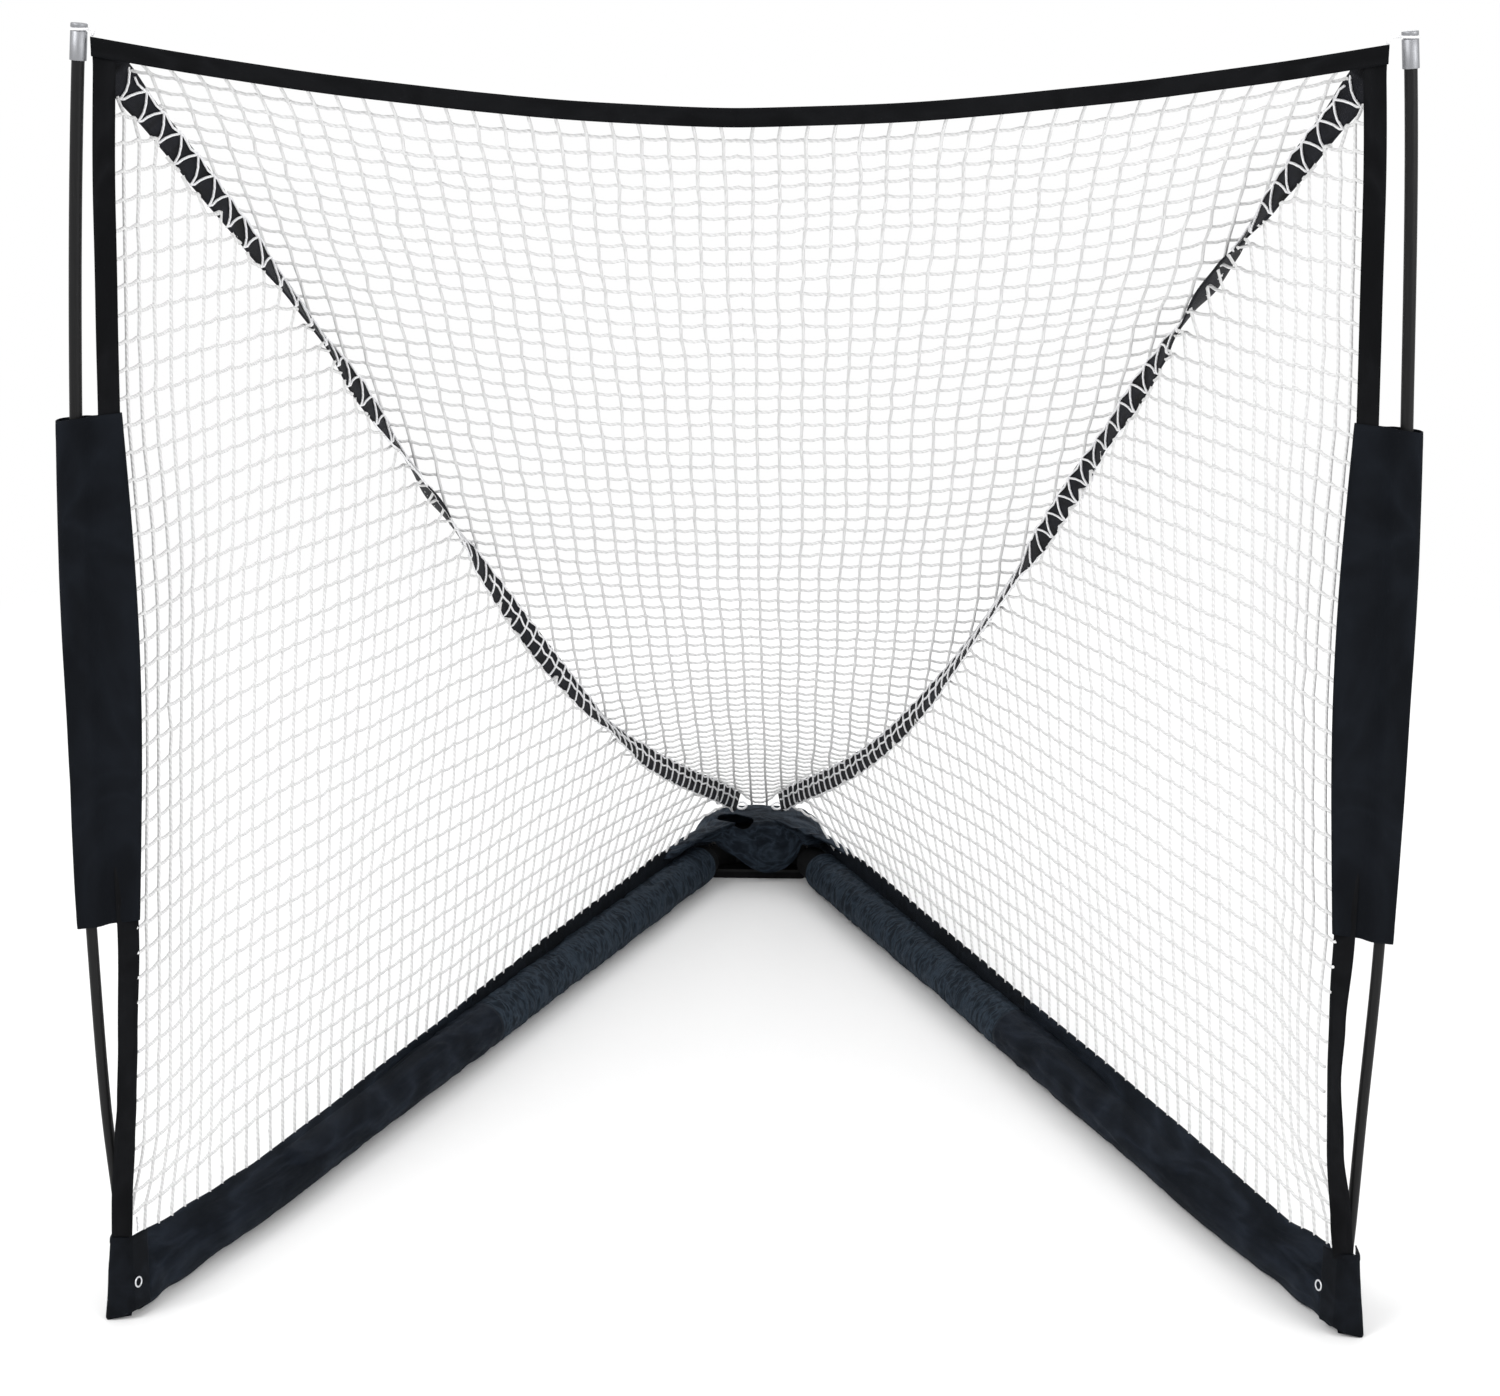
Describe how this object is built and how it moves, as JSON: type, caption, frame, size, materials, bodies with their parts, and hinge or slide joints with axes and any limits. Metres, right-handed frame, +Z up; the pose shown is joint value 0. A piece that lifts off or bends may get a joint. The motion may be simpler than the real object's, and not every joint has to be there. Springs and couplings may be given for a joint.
{
  "type": "folding lacrosse goal",
  "caption": "Folding practice goal: padded arms hinged on a rear hub, bowed poles in the front corners, and a net hung between poles, straps and arms.",
  "frame": {"origin": "on the underside of the hub's base pad, midway between the two hinge bolts, which is where the goal stands at the rear", "axes": "+Z up, the mouth of the goal faces -Y, +X to the right as seen from in front of the mouth"},
  "size_m": [1.8676, 2.2566, 1.8688],
  "materials": {
    "fabric": "matte woven polyester",
    "webbing": "matte webbing",
    "net": "matte twisted cord",
    "cord": "matte cord",
    "foam": "matte foam",
    "steel": "satin powder coat",
    "zinc": "bright zinc",
    "pole": "satin fibreglass",
    "cap": "satin aluminium",
    "rubber": "matte rubber"
  },
  "bodies": {
    "hub": {"hub_base_pad": "rubber", "hub_lower_plate": "steel", "hub_upper_plate": "steel", "hub_spacer": "steel", "hinge_bolt_left": "zinc", "hinge_bolt_right": "zinc", "hinge_nut_left": "zinc", "hinge_nut_right": "zinc", "hub_cover": "fabric", "back_net": "net", "top_band": "webbing"},
    "left_arm": {"left_hinge_lug": "steel", "left_rear_tube": "steel", "left_front_tube": "steel", "left_rear_pad": "foam", "left_front_pad": "foam", "left_rear_sleeve": "fabric", "left_skirt": "fabric", "left_grommet": "zinc", "left_socket": "steel", "left_corner_pocket": "fabric", "left_side_band": "webbing", "left_pole_pocket": "fabric", "left_strap": "webbing", "left_side_net": "net", "left_cap_loop": "cord", "left_lower_tie": "cord", "left_hub_loop": "cord"},
    "right_arm": {"right_hinge_lug": "steel", "right_rear_tube": "steel", "right_front_tube": "steel", "right_rear_pad": "foam", "right_front_pad": "foam", "right_rear_sleeve": "fabric", "right_skirt": "fabric", "right_grommet": "zinc", "right_socket": "steel", "right_corner_pocket": "fabric", "right_side_band": "webbing", "right_pole_pocket": "fabric", "right_strap": "webbing", "right_side_net": "net", "right_cap_loop": "cord", "right_lower_tie": "cord", "right_hub_loop": "cord"},
    "left_pole": {"left_pole_lower": "pole", "left_pole_upper": "pole", "left_pole_ferrule": "zinc", "left_pole_cap": "cap"},
    "right_pole": {"right_pole_lower": "pole", "right_pole_upper": "pole", "right_pole_ferrule": "zinc", "right_pole_cap": "cap"},
    "left_button": {"left_snap_button": "zinc"},
    "right_button": {"right_snap_button": "zinc"}
  },
  "joints": [
    {"name": "left_fold", "type": "hinge", "parent": "hub", "child": "left_arm", "pos_m": [-0.045, 0, 0.045], "axis": [0, 0, 1], "range_deg": [0, 20], "deforming": ["back_net", "top_band", "hub_cover"]},
    {"name": "right_fold", "type": "hinge", "parent": "hub", "child": "right_arm", "pos_m": [0.045, 0, 0.045], "axis": [0, 0, -1], "range_deg": [0, 20], "deforming": ["back_net", "top_band", "hub_cover"]},
    {"name": "left_pole_slide", "type": "slide", "parent": "left_arm", "child": "left_pole", "axis": [-0.0602, 0, 0.9982], "range_m": [0, 0.1], "deforming": ["left_pole_pocket", "left_cap_loop"]},
    {"name": "right_pole_slide", "type": "slide", "parent": "right_arm", "child": "right_pole", "axis": [0.0602, 0, 0.9982], "range_m": [0, 0.1], "deforming": ["right_pole_pocket", "right_cap_loop"]},
    {"name": "left_button_press", "type": "slide", "parent": "left_arm", "child": "left_button", "axis": [0, 0, -1], "range_m": [0, 0.004], "stiffness_N_per_m": 2000, "springref_m": -0.002},
    {"name": "right_button_press", "type": "slide", "parent": "right_arm", "child": "right_button", "axis": [0, 0, -1], "range_m": [0, 0.004], "stiffness_N_per_m": 2000, "springref_m": -0.002}
  ]
}
